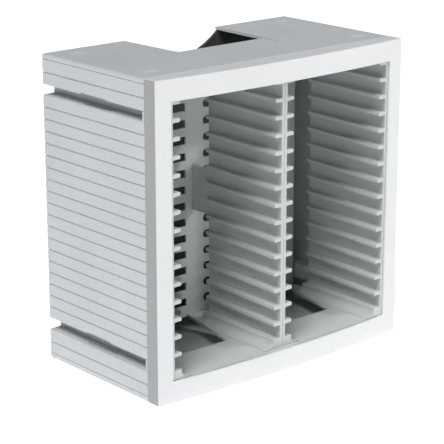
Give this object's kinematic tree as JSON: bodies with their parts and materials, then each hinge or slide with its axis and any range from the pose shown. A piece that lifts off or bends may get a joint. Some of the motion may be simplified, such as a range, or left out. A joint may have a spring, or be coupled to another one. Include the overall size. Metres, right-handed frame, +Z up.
{
  "type": "media case rack",
  "caption": "Stackable desktop rack with two open-fronted bays of slotted rail walls for flat media cases, in a bowed front frame with ribbed linking sides.",
  "frame": {"origin": "on the resting surface, under the centre of the bounding box", "axes": "+X to the right seen from the front, +Y to the back, +Z up; the open front faces -Y"},
  "size_m": [0.338, 0.191, 0.332],
  "materials": {
    "frame": "fine satin moulded plastic",
    "shell": "fine-grained moulded plastic",
    "insert": "satin moulded plastic",
    "cover": "fine-grained moulded plastic",
    "foot_rubber": "matt",
    "screw_steel": "zinc plated"
  },
  "bodies": {
    "root": {"front_frame": "frame", "top_panel": "shell", "bottom_panel": "shell", "rear_cover": "cover", "left_rail_wall": "insert", "right_rail_wall": "insert", "divider_left_half": "insert", "divider_right_half": "insert", "back_grille": "insert", "bay_floor": "insert", "bay_ceiling": "insert", "left_upper_side_strip": "shell", "left_upper_link_channel": "shell", "left_side_panel": "shell", "left_lower_link_channel": "shell", "left_lower_side_strip": "shell", "right_upper_side_strip": "shell", "right_upper_link_channel": "shell", "right_side_panel": "shell", "right_lower_link_channel": "shell", "right_lower_side_strip": "shell", "foot_front_left": "foot_rubber", "foot_front_right": "foot_rubber", "foot_rear_left": "foot_rubber", "foot_rear_right": "foot_rubber", "cover_screw_lower_left": "screw_steel", "cover_screw_lower_right": "screw_steel", "cover_screw_middle_left": "screw_steel", "cover_screw_middle_right": "screw_steel", "cover_screw_upper_left": "screw_steel", "cover_screw_upper_right": "screw_steel"}
  },
  "joints": []
}
